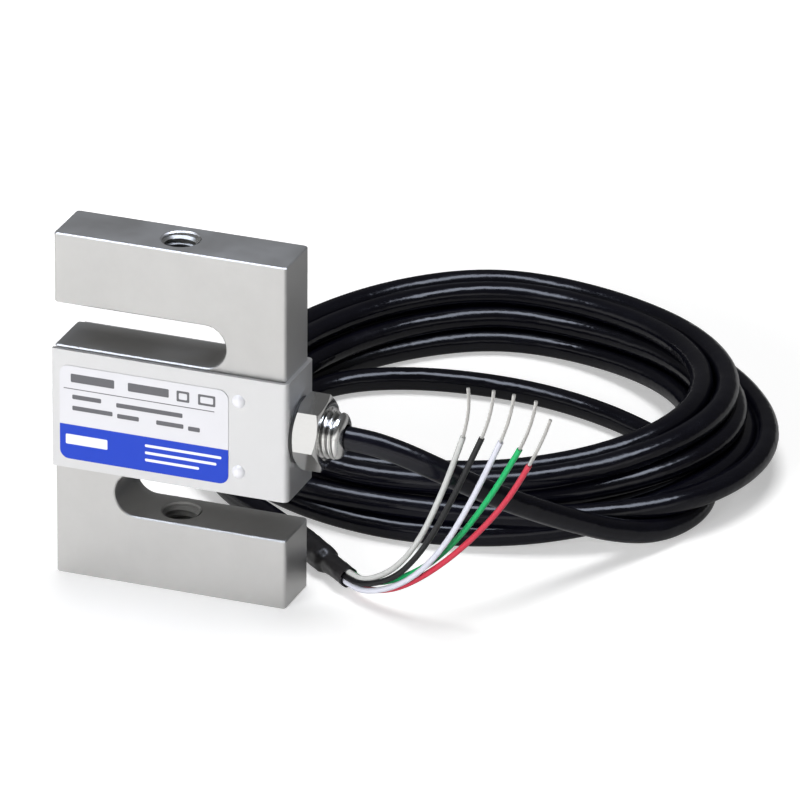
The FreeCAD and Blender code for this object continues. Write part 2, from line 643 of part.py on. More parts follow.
def main():
    os.makedirs("parts", exist_ok=True)

    save("sensing_element", make_sensing_element())
    save("cover", make_cover())
    save("cover_rivets", make_rivets())
    save("data_plate", make_data_plate())
    save("cover_gasket", make_gasket())
    save("edge_sealant", make_sealant())

    save("gland_stem", make_gland_stem())
    save("gland_nut", make_gland_nut())
    save("gland_washer", make_gland_washer())
    save("gland_seal", make_gland_seal())

    buried = {-1: [], 1: []}
    for side, side_name in ((-1, "front"), (1, "back")):
        for place, place_name in ((-1, "left"), (1, "right")):
            gauge = save("gauge_%s_%s" % (side_name, place_name), strain_gauge(side, place))
            buried[side].append(gauge)
    buried[-1].append(save("terminal_board", make_board()))
    buried[-1].append(save("zero_resistor", resistor(1)))
    buried[-1].append(save("span_resistor", resistor(-1)))
    buried[-1].append(save("inner_cores", make_inner_cores()))
    save("potting_front", make_potting(-1, buried[-1]))
    save("potting_back", make_potting(1, buried[1]))

    coil = save("cable_coil", make_coil())
    lead, crossing = make_lead_and_crossing(coil)
    save("cable_lead", lead)
    save("cable_crossing", crossing)
    tail = save("cable_tail", make_tail(coil))
    save("shrink_sleeve", make_sleeve(tail))
    for name in CORE_ROUTES:
        conductor = make_conductor(name)
        save("core_" + name, make_core(name).cut(conductor))
        save("conductor_" + name, conductor)


main()
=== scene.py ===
# %% [markdown]
# # An S-type load cell with a coiled signal cable
#
# The real object is a machined, nickel-plated block with two slots that make it S-shaped. A
# bent sheet cover hides the strain gauges in its middle, a cable gland sits in one side, and a
# few metres of black cable lie coiled behind it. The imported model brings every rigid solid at
# its true place. This script adds the camera, the light, the finishes, the cable with its bare
# ends, and the small forms that are easier to make here than in CAD: threads, wrinkles, strands.

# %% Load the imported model
import bpy
import bmesh
import math
from mathutils import Matrix, Vector, noise


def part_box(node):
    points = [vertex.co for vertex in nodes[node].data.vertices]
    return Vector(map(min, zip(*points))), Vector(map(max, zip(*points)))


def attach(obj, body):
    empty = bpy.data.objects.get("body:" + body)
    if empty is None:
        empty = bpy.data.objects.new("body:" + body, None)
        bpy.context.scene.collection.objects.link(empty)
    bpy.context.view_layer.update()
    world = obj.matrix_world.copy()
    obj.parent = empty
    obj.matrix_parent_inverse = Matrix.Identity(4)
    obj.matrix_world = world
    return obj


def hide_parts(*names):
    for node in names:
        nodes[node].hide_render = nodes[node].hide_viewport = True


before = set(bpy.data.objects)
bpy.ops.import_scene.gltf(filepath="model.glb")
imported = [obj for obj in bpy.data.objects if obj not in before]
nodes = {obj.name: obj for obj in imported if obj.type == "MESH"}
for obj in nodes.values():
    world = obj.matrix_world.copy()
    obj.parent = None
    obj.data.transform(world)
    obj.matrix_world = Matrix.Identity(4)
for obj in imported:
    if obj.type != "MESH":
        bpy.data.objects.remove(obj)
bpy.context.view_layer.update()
MM = 0.001

# %% [markdown]
# ## Camera
#
# A long lens from far away keeps the edges of the block nearly parallel, as in a catalogue. The
# camera looks down at 24 degrees from a little to the right of the data plate, nearly two
# metres away. Its place comes from two angles, a distance and the point it looks at.

# %% Camera
VIEW_AZIMUTH = math.radians(20.394)
VIEW_ELEVATION = math.radians(24.283)
VIEW_ROLL = math.radians(0.479)
VIEW_DISTANCE = 1.8127
VIEW_RIGHT, VIEW_UP = 0.044765, 0.002035 # from the middle of the block to the frame's middle
LENS = 398.49
block_low, block_high = (Vector(c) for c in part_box("sensing_element"))

back = Vector((math.sin(VIEW_AZIMUTH) * math.cos(VIEW_ELEVATION),
               -math.cos(VIEW_AZIMUTH) * math.cos(VIEW_ELEVATION), math.sin(VIEW_ELEVATION)))
level_right = (-back).cross(Vector((0, 0, 1))).normalized()
level_up = level_right.cross(-back)
right = level_right * math.cos(VIEW_ROLL) + level_up * math.sin(VIEW_ROLL)
up = level_up * math.cos(VIEW_ROLL) - level_right * math.sin(VIEW_ROLL)
target = (block_low + block_high) / 2 + right * VIEW_RIGHT + up * VIEW_UP

camera = bpy.data.objects.new("camera", bpy.data.cameras.new("camera"))
camera.data.lens = LENS
camera.data.sensor_width = 36            # millimetres, like the lens
camera.data.clip_start, camera.data.clip_end = 0.05, 50
turn = Matrix((right, up, back)).transposed().to_4x4()
camera.matrix_world = Matrix.Translation(target + back * VIEW_DISTANCE) @ turn
bpy.context.scene.collection.objects.link(camera)
bpy.context.scene.camera = camera
bpy.context.scene.view_settings.view_transform = "Standard"
print("camera at", tuple(round(c, 3) for c in camera.location))

# %% [markdown]
# ## Helpers for finishes
#
# A finish is a material with one Principled shader. Numbers that are the same all over the
# surface are set on the shader itself, and only what varies over the surface comes from nodes.

# %% Helpers for finishes
def finish(name, constants):
    """A material, with the given values set on its shader."""
    material = bpy.data.materials.new(name)
    material.use_nodes = True
    shader = material.node_tree.nodes["Principled BSDF"]
    for label, value in constants.items():
        shader.inputs[label].default_value = value
    return material, material.node_tree, shader


def add(tree, kind, settings=None, **inputs):
    """A node, with its settings, and its sockets set to a value or linked to another socket."""
    node = tree.nodes.new(kind)
    for label, value in (settings or {}).items():
        setattr(node, label, value)
    for label, value in inputs.items():
        feed(tree, node, int(label[1:]) if label[1:].isdigit() else label.replace("_", " "), value)
    return node


def feed(tree, node, label, value):
    """Set one input of a node, or link it where the value is a socket."""
    if isinstance(value, bpy.types.NodeSocket):
        tree.links.new(value, node.inputs[label])
    else:
        node.inputs[label].default_value = value


def calc(tree, operation, *values):
    """One Math node, for the value it gives."""
    node = tree.nodes.new("ShaderNodeMath")
    node.operation = operation
    for i, value in enumerate(values):
        feed(tree, node, i, value)
    return node.outputs[0]


def remap(tree, value, start, end, below, above, smooth="SMOOTHSTEP"):
    """A value that goes from below to above while another goes from start to end."""
    node = add(tree, "ShaderNodeMapRange", {"interpolation_type": smooth}, Value=value)
    for label, number in zip(("From Min", "From Max", "To Min", "To Max"),
                             (start, end, below, above)):
        feed(tree, node, label, number)
    return node.outputs[0]


def mixed(tree, mask, below, above, **settings):
    """One colour laid over another through a mask."""
    node = add(tree, "ShaderNodeMix", {"data_type": "RGBA", **settings}, _0=mask, _6=below,
               _7=above)
    return node.outputs[2]


def new_group(name, inputs, outputs):
    """A shader node group with named sockets."""
    tree = bpy.data.node_groups.new(name, "ShaderNodeTree")
    for label, kind, value in inputs:
        socket = tree.interface.new_socket(label, in_out="INPUT", socket_type="NodeSocket" + kind)
        socket.default_value = value
    for label, kind in outputs:
        tree.interface.new_socket(label, in_out="OUTPUT", socket_type="NodeSocket" + kind)
    return tree, tree.nodes.new("NodeGroupInput"), tree.nodes.new("NodeGroupOutput")


def use_group(tree, group, **inputs):
    """A node group placed in a material, with its own values."""
    node = tree.nodes.new("ShaderNodeGroup")
    node.node_tree = group
    for label, value in inputs.items():
        feed(tree, node, label.replace("_", " "), value)
    return node


def object_position(tree):
    """Places in metres, measured from the object's origin."""
    return tree.nodes.new("ShaderNodeTexCoord").outputs["Object"]


print("helpers ready")

# %% [markdown]
# ## Two effects that many finishes share
#
# Hardly any real surface has one even tone. *Cloudy* varies the tone and the roughness slowly,
# as plating, moulded plastic and handling do. *Fine grain* gives a tiny relief, which can be
# stretched along one axis for metal that was ground or rolled in that direction.

# %% Cloudy
cloudy, cloudy_in, cloudy_out = new_group(
    "cloudy",
    [("Position", "Vector", (0, 0, 0)), ("Color", "Color", (0.5, 0.5, 0.5, 1)),
     ("Scale", "Float", 60.0), ("Tone", "Float", 0.1),
     ("Roughness", "Float", 0.4), ("Spread", "Float", 0.1)],
    [("Color", "Color"), ("Roughness", "Float")])
cloud = add(cloudy, "ShaderNodeTexNoise", Vector=cloudy_in.outputs["Position"],
            Scale=cloudy_in.outputs["Scale"], Detail=5.0, Roughness=0.62)
level = calc(cloudy, "SUBTRACT", cloud.outputs["Fac"], 0.5)
tone = calc(cloudy, "MULTIPLY_ADD", level, cloudy_in.outputs["Tone"], 1.0)
tinted = add(cloudy, "ShaderNodeHueSaturation", Color=cloudy_in.outputs["Color"], Value=tone)
rough = calc(cloudy, "MULTIPLY_ADD", level, cloudy_in.outputs["Spread"],
             cloudy_in.outputs["Roughness"])
cloudy.links.new(tinted.outputs["Color"], cloudy_out.inputs["Color"])
cloudy.links.new(rough, cloudy_out.inputs["Roughness"])
print("group", cloudy.name)

# %% Fine grain
grain, grain_in, grain_out = new_group(
    "fine grain",
    [("Position", "Vector", (0, 0, 0)), ("Stretch", "Vector", (1, 1, 1)),
     ("Scale", "Float", 1500.0)],
    [("Height", "Float")])
stretched = add(grain, "ShaderNodeVectorMath", {"operation": "MULTIPLY"},
                _0=grain_in.outputs["Position"], _1=grain_in.outputs["Stretch"])
speck = add(grain, "ShaderNodeTexNoise", Vector=stretched.outputs[0],
            Scale=grain_in.outputs["Scale"], Detail=3.0)
grain.links.new(speck.outputs["Fac"], grain_out.inputs["Height"])
print("group", grain.name)

# %% A finish from the two effects
def cloud_over(tree, shader, position, color, **values):
    """Give a shader a cloudy colour and roughness."""
    clouds = use_group(tree, cloudy, Position=position, Color=color, **values)
    tree.links.new(clouds.outputs["Color"], shader.inputs["Base Color"])
    tree.links.new(clouds.outputs["Roughness"], shader.inputs["Roughness"])


def roughen(tree, shader, position, scale, relief, depth=0.0001, stretch=(1, 1, 1)):
    """Give a shader the relief of a fine grain."""
    specks = use_group(tree, grain, Position=position, Stretch=stretch, Scale=scale)
    bump = add(tree, "ShaderNodeBump", Strength=relief, Distance=depth,
               Height=specks.outputs["Height"])
    tree.links.new(bump.outputs["Normal"], shader.inputs["Normal"])


def surface(name, color, roughness, tone=0.08, spread=0.1, scale=60.0, grain_scale=1500.0,
            stretch=(1, 1, 1), relief=0.02, depth=0.0001, **constants):
    """A cloudy, finely grained finish."""
    constants = {label.replace("_", " "): value for label, value in constants.items()}
    material, tree, shader = finish(name, constants)
    position = object_position(tree)
    cloud_over(tree, shader, position, (*color, 1), Scale=scale, Tone=tone, Roughness=roughness,
               Spread=spread)
    roughen(tree, shader, position, grain_scale, relief, depth, stretch)
    return material


def dress(node, material):
    """Give a CAD node its finish."""
    obj = nodes[node]
    obj.data.materials.clear()
    obj.data.materials.append(material)
    print("dressed", node, "in", material.name)


# %% [markdown]
# ## Helpers for pieces
#
# Every new piece is a mesh whose object sits at the origin, so its place is in its points. An
# edge stays sharp where two faces meet at more than 35 degrees, and looks smooth elsewhere.

# %% Helpers for pieces
SHARP = math.radians(35)


def piece_from(bm, name, material, replaced=()):
    """Turn a bmesh into a finished piece that rides on the fixed body."""
    bmesh.ops.remove_doubles(bm, verts=bm.verts, dist=1e-7)
    bmesh.ops.recalc_face_normals(bm, faces=bm.faces)
    for face in bm.faces:
        face.smooth = True
    for edge in bm.edges:
        edge.smooth = len(edge.link_faces) == 2 and edge.calc_face_angle(0) < SHARP
    loose = sum(1 for edge in bm.edges if len(edge.link_faces) != 2)
    mesh = bpy.data.meshes.new(name)
    bm.to_mesh(mesh)
    bm.free()
    obj = bpy.data.objects.new(name, mesh)
    mesh.materials.append(material)
    bpy.context.scene.collection.objects.link(obj)
    settle(obj, replaced)
    print(name, len(mesh.polygons), "faces", loose, "open edges")
    return obj


def settle(obj, replaced=()):
    """Say what a piece rides on, and hide the CAD nodes it stands for."""
    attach(obj, "root")
    if replaced:
        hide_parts(*replaced)


def lathe(bm, profile, steps=96):
    """Spin a closed outline of (along, radius) pairs round the X axis."""
    points = [bm.verts.new((along * MM, 0, radius * MM)) for along, radius in profile]
    edges = [bm.edges.new((a, b)) for a, b in zip(points, points[1:] + points[:1])]
    bmesh.ops.spin(bm, geom=points + edges, cent=(0, 0, 0), axis=(1, 0, 0),
                   angle=math.tau, steps=steps, use_merge=True)


def place(bm, to, axis=(1, 0, 0)):
    """Turn the X axis of a finished shape to another axis and move its origin to a point."""
    turned = Vector((1, 0, 0)).rotation_difference(Vector(axis)).to_matrix()
    bmesh.ops.rotate(bm, verts=bm.verts, cent=(0, 0, 0), matrix=turned)
    bmesh.ops.translate(bm, verts=bm.verts, vec=[c * MM for c in to])


print("edges sharper than", round(math.degrees(SHARP)), "degrees stay sharp")

# %% [markdown]
# ## The signal cable
#
# The cable is a stiff round PVC cord, 5 mm thick. It leaves the gland, bends down to the floor,
# runs under the coil and round it eight times, and comes back past the block to its bare end.
# A cord is best made as one smooth NURBS line with a round bevel, because then it keeps its
# thickness and can be measured. The two ends have points given one by one. The coil's turns come
# from a loop: each turn has four corners, at the front, the right, the back and the left, and a
# quarter of an ellipse between two of them. Turns on the floor go from the inside out, and the
# next layers lie on top of them. On the right they all cross over the cable's first run.

# %% Route of the cable, in millimetres
LEAD_ROUTE = [
    (19.9, 0, 38.1), (38.6, 0, 38.1), (47, 1.7, 35.8), (55, 6, 30.8), (62, 12.5, 24.8),
    (68.5, 22, 18), (74.5, 32, 11.8), (80.5, 41.5, 6.4), (86.5, 51.5, 3), (90.5, 63.5, 2.6),
    (89, 76, 2.6), (82, 87, 2.6), (70.5, 96.5, 2.6), (54.5, 105, 2.6), (36, 109.5, 2.6),
    (17, 108.5, 2.6), (2.5, 103.3, 2.6), (-6.3, 94.6, 2.6),
]
TURNS_START = (-9.2, 82, 2.5)
# The four corners of each turn, front, right, back and left, each with the power that shapes the
# quarter before it: 1 is an ellipse, more is flatter
TURNS = [
    ((28, 47.5, 2.5, 1), (82.4, 82, 7.6, 1), (28, 135.0, 2.5, 1.05), (-14.4, 77, 2.5, 1.12)),
    ((30, 42.0, 2.5, 1), (87.6, 81, 7.6, 1), (26, 139.8, 2.5, 1.05), (-19.5, 77, 2.5, 1.12)),
    ((36, 33.0, 2.5, 1), (93.2, 85, 7.6, 1), (24, 144.4, 2.5, 1.1), (-24.6, 78, 2.5, 1.08)),
    ((33, 34.2, 7.4, 1), (98.4, 85, 7.6, 0.93), (26, 146.4, 7.1, 1.12), (-22.0, 79, 7.2, 1.08)),
    ((30, 39.6, 7.2, 1), (91.0, 85, 12.2, 1), (26, 141.4, 7.2, 1.08), (-17.0, 80, 7.2, 1.08)),
    ((28, 44.7, 7.2, 1), (85.0, 84, 12.2, 1), (27, 136.6, 7.2, 1.05), (-11.9, 80, 7.2, 1.1)),
    ((28, 41.8, 11.8, 1), (83.0, 84, 16.8, 1), (26, 138.8, 11.9, 1.05), (-14.4, 80, 11.8, 1.08)),
    ((30, 36.8, 11.9, 1), (88.7, 86, 16.8, 1), (24, 144.4, 12.2, 1.1), (-19.5, 80, 11.8, 1.08)),
]
TAIL_ROUTE = [
    (-21, 67, 12.4), (-19, 55.5, 12), (-14, 45.8, 7.5), (-5, 37.6, 3), (8, 29.3, 2.7),
    (19, 19.7, 3.2), (26.8, 13, 3.2),
]
POINTS_A_QUARTER = 4


def quarter(start, end, first_along_y):
    """Points on a quarter of an ellipse from one corner of a turn to the next."""
    for step in range(POINTS_A_QUARTER):
        angle = step / POINTS_A_QUARTER * math.pi / 2
        late = 1 - math.cos(angle) ** end[3]
        early = math.sin(angle) ** end[3]
        along_x, along_y = (late, early) if first_along_y else (early, late)
        rise = (1 - math.cos(2 * angle)) / 2
        yield (start[0] + (end[0] - start[0]) * along_x,
               start[1] + (end[1] - start[1]) * along_y,
               start[2] + (end[2] - start[2]) * rise)


coil_route = []
corner = TURNS_START
for turn_corners in TURNS:
    for i, next_corner in enumerate(turn_corners):
        coil_route += quarter(corner, next_corner, first_along_y=i % 2 == 0)
        corner = next_corner
cable_route = LEAD_ROUTE + coil_route + TAIL_ROUTE
print("cable route", len(cable_route), "points,", len(TURNS), "turns")

# %% Helper for cords
def cord_line(name, route, diameter, around=12):
    """A smooth round cord along a route in millimetres."""
    curve = bpy.data.curves.new(name, "CURVE")
    curve.dimensions = "3D"
    curve.bevel_depth = diameter / 2 * MM
    curve.bevel_resolution = around // 2 - 2
    curve.use_fill_caps = True
    spline = curve.splines.new("NURBS")
    spline.points.add(len(route) - 1)
    for point, place_mm in zip(spline.points, route):
        point.co = (*(c * MM for c in place_mm), 1)
    spline.order_u = 3
    spline.use_endpoint_u = True
    spline.resolution_u = 8
    obj = bpy.data.objects.new(name, curve)
    bpy.context.scene.collection.objects.link(obj)
    return obj


def followed(line):
    """Points along a cord's own line, and its length in metres."""
    curve = line.data.copy()
    curve.bevel_depth = 0
    plain = bpy.data.objects.new("plain", curve)
    points = [v.co.copy() for v in bpy.data.meshes.new_from_object(plain).vertices]
    bpy.data.objects.remove(plain)
    return points, sum((b - a).length for a, b in zip(points, points[1:]))


print("cords are NURBS lines with a round bevel")

# %% [markdown]
# Black PVC has a smooth, slightly waxy skin. It is nearly black, and what the eye reads is the
# light on it, so the gloss matters more than the colour. Soft dents and a little unevenness in
# the roughness keep the highlights from looking like a line drawn with a ruler.

# %% The cable
jacket = surface("black PVC jacket", (0.0025, 0.0025, 0.006), 0.19, tone=0.5, spread=0.35,
                 scale=90.0, grain_scale=130.0, relief=0.4, depth=0.0009, Specular_IOR_Level=0.33)
CABLE_DIAMETER = 5.0
cable = cord_line("signal_cable", cable_route, CABLE_DIAMETER, around=24)
cable.data.materials.append(jacket)
settle(cable, ("cable_lead", "cable_crossing", "cable_coil", "cable_tail"))
cable_length = followed(cable)[1]
print("cable", round(cable_length, 3), "m")

# %% [markdown]
# ## The cores
#
# Five thin cores leave the sleeve side by side and spread like a hand. Each is a cord of its
# own. Their bare ends are strands of tinned copper, twisted and drawn out of the insulation.

# %% Places of the cores
JACKET_END = Vector(TAIL_ROUTE[-1])
SLEEVE_AXIS = Vector([b - a for a, b in zip(*TAIL_ROUTE[-2:])]).normalized()
SLEEVE_SIDE = SLEEVE_AXIS.cross(Vector((0, 0, 1)))
SLEEVE_REACH, CORE_STRAIGHT, BUNDLE_RING = 10.0, 2.4, 1.15
CORE_DIAMETER, CONDUCTOR_DIAMETER, CONDUCTOR_SINK = 1.25, 0.65, 1.5
# For each core: where it sits round the bundle in degrees, the points of its free run, and the
# tip of its bare end
CORE_ROUTES = {
    "drain": (90, [(39.8, 3.4, 5.0), (44.9, 2.2, 8.2), (48.9, 1.2, 12.6), (52.5, 0.6, 18.4),
                   (55.8, 0.2, 26.0), (59.0, -0.2, 34.6), (61.6, -0.5, 42.6)],
              (62.6, -0.6, 53.6)),
    "black": (18, [(41.0, 1.8, 4.8), (47.0, 0.4, 8.2), (51.6, -0.4, 13.6), (55.4, -0.8, 19.8),
                   (59.1, -1.2, 27.4), (62.7, -1.5, 35.6), (66.1, -1.8, 43.6)],
              (68.6, -2.0, 54.6)),
    "white": (306, [(40.8, 1.6, 3.2), (47.6, 0.2, 6.4), (53.6, -0.9, 11.8), (58.4, -1.6, 18.4),
                    (62.5, -2.0, 26.0), (66.6, -2.3, 34.8), (70.4, -2.5, 43.8)],
              (73.2, -2.7, 54.8)),
    "green": (162, [(41.6, 3.6, 4.4), (47.6, 2.4, 7.2), (54.0, 1.6, 11.8), (60.2, 0.8, 18.8),
                    (65.5, 0.2, 26.8), (70.2, -0.4, 34.8), (73.9, -0.8, 42.0)],
              (77.4, -1.2, 53.4)),
    "red": (234, [(41.8, 2.8, 3.0), (48.0, 1.5, 5.6), (55.0, 0.5, 11.0), (61.8, -0.4, 17.8),
                  (68.2, -1.0, 25.6), (72.8, -1.4, 32.4), (76.3, -1.7, 39.2)],
            (80.8, -2.0, 50.2)),
}


def in_bundle(angle, along):
    """Where a core sits in the bundle, past the jacket's end."""
    turned = math.radians(angle)
    return (JACKET_END + SLEEVE_AXIS * along + SLEEVE_SIDE * (BUNDLE_RING * math.cos(turned))
            + Vector((0, 0, BUNDLE_RING * math.sin(turned))))


print("cores", list(CORE_ROUTES), "leave the jacket at", tuple(JACKET_END))

# %% Finishes of the cores
core_finishes = {
    "drain": surface("clear insulation", (0.50, 0.51, 0.50), 0.30, tone=0.25, scale=400.0,
                     relief=0.05),
    "black": surface("black insulation", (0.005, 0.005, 0.006), 0.38, tone=0.3, scale=300.0),
    "white": surface("white insulation", (0.60, 0.61, 0.69), 0.30, tone=0.06, scale=300.0),
    "green": surface("green insulation", (0.006, 0.38, 0.115), 0.30, tone=0.2, scale=300.0),
    "red": surface("red insulation", (0.52, 0.03, 0.06), 0.30, tone=0.2, scale=300.0),
}
tinned = surface("tinned copper", (0.70, 0.69, 0.67), 0.30, tone=0.2, scale=900.0, Metallic=0.7)
print("finishes", [material.name for material in core_finishes.values()], tinned.name)

# %% [markdown]
# A bare end is seven thin wires with a right-hand lay: one in the middle and six round it. The
# strands follow the line of the conductor, and each turns about it once in five millimetres.

# %% Strands along a line
STRANDS, LAY, STRAND_RADIUS = 6, 5.0, 0.115
STRANDS_SPREAD = 1.2                     # strands that come untwisted lie a little apart


def strands_along(bm, line, radius):
    """Six round wires laid about a line, and one in its middle."""
    tangents = [(b - a).normalized() for a, b in zip(line, line[1:] + line[-1:])]
    tangents[-1] = tangents[-2]
    for strand in range(STRANDS + 1):
        offset = 0 if strand == STRANDS else radius - STRAND_RADIUS * MM
        travelled = 0.0
        previous = None
        for i, (point, tangent) in enumerate(zip(line, tangents)):
            if i:
                travelled += (point - line[i - 1]).length
            across = tangent.cross(Vector((0, 1, 0))).normalized()
            over = across.cross(tangent)
            angle = math.tau * (strand / STRANDS + travelled / (LAY * MM))
            centre = point + (across * math.cos(angle) + over * math.sin(angle)) * offset
            ring = bmesh.ops.create_circle(bm, segments=8, radius=STRAND_RADIUS * MM,
                                           cap_ends=i in (0, len(line) - 1))["verts"]
            turned = Vector((0, 0, 1)).rotation_difference(tangent).to_matrix()
            bmesh.ops.rotate(bm, verts=ring, cent=(0, 0, 0), matrix=turned)
            bmesh.ops.translate(bm, verts=ring, vec=centre)
            edges = list({e for v in ring for e in v.link_edges})
            if previous:
                bmesh.ops.bridge_loops(bm, edges=previous + edges)
            previous = edges


print(STRANDS + 1, "strands in a bare end")

# %% The five cores and their bare ends
for name, (angle, free_points, tip) in CORE_ROUTES.items():
    route = [tuple(in_bundle(angle, 0)), tuple(in_bundle(angle, SLEEVE_REACH + CORE_STRAIGHT))]
    core = cord_line("insulated_core_" + name, route + free_points, CORE_DIAMETER)
    core.data.materials.append(core_finishes[name])
    settle(core, ("core_" + name,))
    end, before = Vector(free_points[-1]), Vector(free_points[-2])
    heading = (end - before).normalized()
    middle = end + heading * (0.5 * (Vector(tip) - end).length)
    line = cord_line("line", [tuple(end - heading * CONDUCTOR_SINK), tuple(middle), tip], 0.1)
    line.data.splines[0].resolution_u = 24
    bare_line, bare_length = followed(line)
    bpy.data.objects.remove(line)
    bm = bmesh.new()
    strands_along(bm, bare_line, STRANDS_SPREAD * CONDUCTOR_DIAMETER / 2 * MM)
    bare = piece_from(bm, "bare_end_" + name, tinned, ("conductor_" + name,))
    core_length = followed(core)[1]
    print(name, "core", round(core_length * 1000, 1), "mm, bare", round(bare_length * 1000, 1))

# %% [markdown]
# ## Floor
#
# The object stands on a white table. The table glows a little where it is looked at, more so
# far from the object, so it runs into the white behind it and still keeps the shadows. Polished
# metal mirrors a table as well. In front of the block it is as bright as paper there, and it
# gets dark behind and to the right, which gives the flat faces and the cable their contrast.

# %% Floor
FRONT_LINE, BACK_LINE = -0.02, 0.06      # between these the mirrored table grows dim
DARKER_RIGHT = 0.8                       # how much a step to the right counts as a step back
DIM_MIRROR, MIRROR_GLOW = 0.3, 0.46
PAPER, DIM_PAPER = (0.80, 0.80, 0.80, 1), (0.12, 0.12, 0.12, 1)
TABLE_GLOW, FAR_GLOW = 0.44, 1.0
GLOW_CENTRE, GLOW_NEAR, GLOW_FAR = (0.03, 0.06, 0.0), 0.10, 0.25
TABLE_RADIUS = 4.0
floor_material, tree, shader = finish("white table", {"Roughness": 0.7, "Specular IOR Level": 0.1})
position = object_position(tree)
path = tree.nodes.new("ShaderNodeLightPath")
parts = add(tree, "ShaderNodeSeparateXYZ", Vector=position)
depth = calc(tree, "MULTIPLY_ADD", parts.outputs["X"], DARKER_RIGHT, parts.outputs["Y"])
front = remap(tree, depth, FRONT_LINE, BACK_LINE, 1.0, DIM_MIRROR)
mirrored = path.outputs["Is Glossy Ray"]
away = add(tree, "ShaderNodeVectorMath", {"operation": "DISTANCE"}, _0=position,
           _1=GLOW_CENTRE).outputs["Value"]
spot = remap(tree, away, GLOW_NEAR, GLOW_FAR, TABLE_GLOW, FAR_GLOW)
seen = calc(tree, "ADD", path.outputs["Is Camera Ray"], path.outputs["Is Transmission Ray"])
glow = calc(tree, "ADD", calc(tree, "MULTIPLY", seen, spot),
            calc(tree, "MULTIPLY", calc(tree, "MULTIPLY", mirrored, front), MIRROR_GLOW))
dim = calc(tree, "MULTIPLY", mirrored, calc(tree, "SUBTRACT", 1.0, front))
cloud_over(tree, shader, position, mixed(tree, dim, PAPER, DIM_PAPER), Scale=8.0, Tone=0.01,
           Roughness=0.7, Spread=0.02)
shader.inputs["Emission Color"].default_value = (1, 1, 1, 1)
tree.links.new(glow, shader.inputs["Emission Strength"])

bm = bmesh.new()
bmesh.ops.create_circle(bm, segments=96, radius=TABLE_RADIUS, cap_ends=True)
mesh = bpy.data.meshes.new("table")
bm.to_mesh(mesh)
bm.free()
mesh.materials.append(floor_material)
table = bpy.data.objects.new("table", mesh)
bpy.context.scene.collection.objects.link(table)
print("table", [round(side, 1) for side in table.dimensions], "m")

# %% [markdown]
# ## World
#
# The camera sees plain white. The object gets very little light from all round, and in its
# mirror it sees a bright band at the height of the table in front, and a dark room above and
# behind.

# %% World
ROOM, BAND_FRONT, BAND_BACK, ABOVE = 0.05, 1.05, 0.08, 0.10
# The band fades from front to back and upwards, between these parts of the direction looked in
BAND_FADES_BACK, BAND_FADES_UP = (-0.5, 0.3), (0.22, 0.40)
world = bpy.data.worlds.new("studio")
bpy.context.scene.world = world
world.use_nodes = True
tree = world.node_tree
tree.nodes.clear()
path = tree.nodes.new("ShaderNodeLightPath")
room = add(tree, "ShaderNodeBackground", Color=(1, 1, 1, 1), Strength=ROOM)
shown = add(tree, "ShaderNodeBackground", Color=(1, 1, 1, 1), Strength=1.0)
direction = add(tree, "ShaderNodeSeparateXYZ",
                Vector=tree.nodes.new("ShaderNodeTexCoord").outputs["Generated"])
band = remap(tree, direction.outputs["Y"], *BAND_FADES_BACK, BAND_FRONT, BAND_BACK)
height = remap(tree, direction.outputs["Z"], *BAND_FADES_UP, band, ABOVE)
mirrored_room = add(tree, "ShaderNodeBackground", Color=(1, 1, 1, 1), Strength=height)
glossy_mix = add(tree, "ShaderNodeMixShader", _0=path.outputs["Is Glossy Ray"],
                 _1=room.outputs[0], _2=mirrored_room.outputs[0])
direct = calc(tree, "ADD", path.outputs["Is Camera Ray"], path.outputs["Is Transmission Ray"])
mix = add(tree, "ShaderNodeMixShader", _0=direct, _1=glossy_mix.outputs[0], _2=shown.outputs[0])
add(tree, "ShaderNodeOutputWorld", Surface=mix.outputs[0])
print("world", world.name)

# %% [markdown]
# ## Lamps
#
# Three soft rectangular lamps light the object. The key is large, low and in front, a little to
# the left, so the front is light, the top is grey and the right side is dark. A long strip
# overhead draws the streaks along the cable. A lamp above and a little behind gives the short
# shadow in front.

# %% Lamps
LAMPS_FACE = Vector((0.02, 0.04, 0.03))


def lamp(name, azimuth, elevation, distance, size, power, color=(1, 1, 1)):
    """A soft rectangular lamp that faces the object's middle."""
    data = bpy.data.lights.new(name, "AREA")
    data.shape = "RECTANGLE"
    data.size, data.size_y = size
    data.energy = power
    data.color = color
    obj = bpy.data.objects.new(name, data)
    az, el = math.radians(azimuth), math.radians(elevation)
    away = Vector((math.sin(az) * math.cos(el), -math.cos(az) * math.cos(el), math.sin(el)))
    obj.matrix_world = (Matrix.Translation(LAMPS_FACE + away * distance)
                        @ away.to_track_quat("Z", "Y").to_matrix().to_4x4())
    obj.visible_camera = False
    bpy.context.scene.collection.objects.link(obj)
    print("lamp", name, tuple(round(c, 2) for c in obj.matrix_world.translation), power, "W")
    return obj


key = lamp("key", -16, 12, 1.3, (0.75, 0.6), 18.5)
key.visible_glossy = False               # it would draw a second streak on the cable
overhead = lamp("overhead", 15, 85, 0.9, (1.5, 0.40), 19.0, (0.78, 0.85, 1.0))
overhead.visible_diffuse = False         # only for the long soft streaks on the cable
rear = lamp("rear", 190, 79, 1.2, (0.6, 0.6), 10.0)
rear.visible_glossy = False              # only for the short shadow in front

# %% [markdown]
# ## Sensing element
#
# The block is machined from one bar, ground, and plated with satin nickel. The finish is partly
# a mirror and partly dull, with faint clouds and a fine upright grain from the grinding wheel.

# %% Finish of the block
plated = surface("satin nickel plate", (0.53, 0.525, 0.515), 0.40, tone=0.24, spread=0.22,
                 scale=75.0, grain_scale=1500.0, stretch=(1, 1, 0.3), relief=0.16,
                 Metallic=0.85)
dress("sensing_element", plated)

